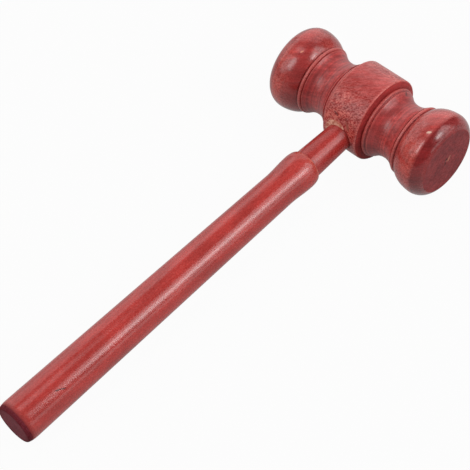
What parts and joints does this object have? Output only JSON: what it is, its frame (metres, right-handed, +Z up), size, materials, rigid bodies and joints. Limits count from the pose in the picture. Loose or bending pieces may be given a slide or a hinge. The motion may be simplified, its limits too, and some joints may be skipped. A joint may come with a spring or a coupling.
{
  "type": "judge gavel",
  "caption": "Turned wooden gavel: a double-faced head with rounded beads, coves and a plain barrel, on a tapered round handle glued into the barrel.",
  "frame": {"origin": "on the table, under the middle of the gavel's box as it lies at rest", "axes": "+X along the head's axis, +Y from the butt of the handle towards the head, +Z up from the table"},
  "size_m": [0.0896, 0.2334, 0.04],
  "materials": {
    "head_wood": "red stain under semi-gloss lacquer",
    "handle_wood": "red stain under semi-gloss lacquer",
    "dried_glue": "dried glue, satin"
  },
  "bodies": {
    "root": {"gavel_head": "head_wood", "handle": "handle_wood", "glue_bead": "dried_glue"}
  },
  "joints": []
}
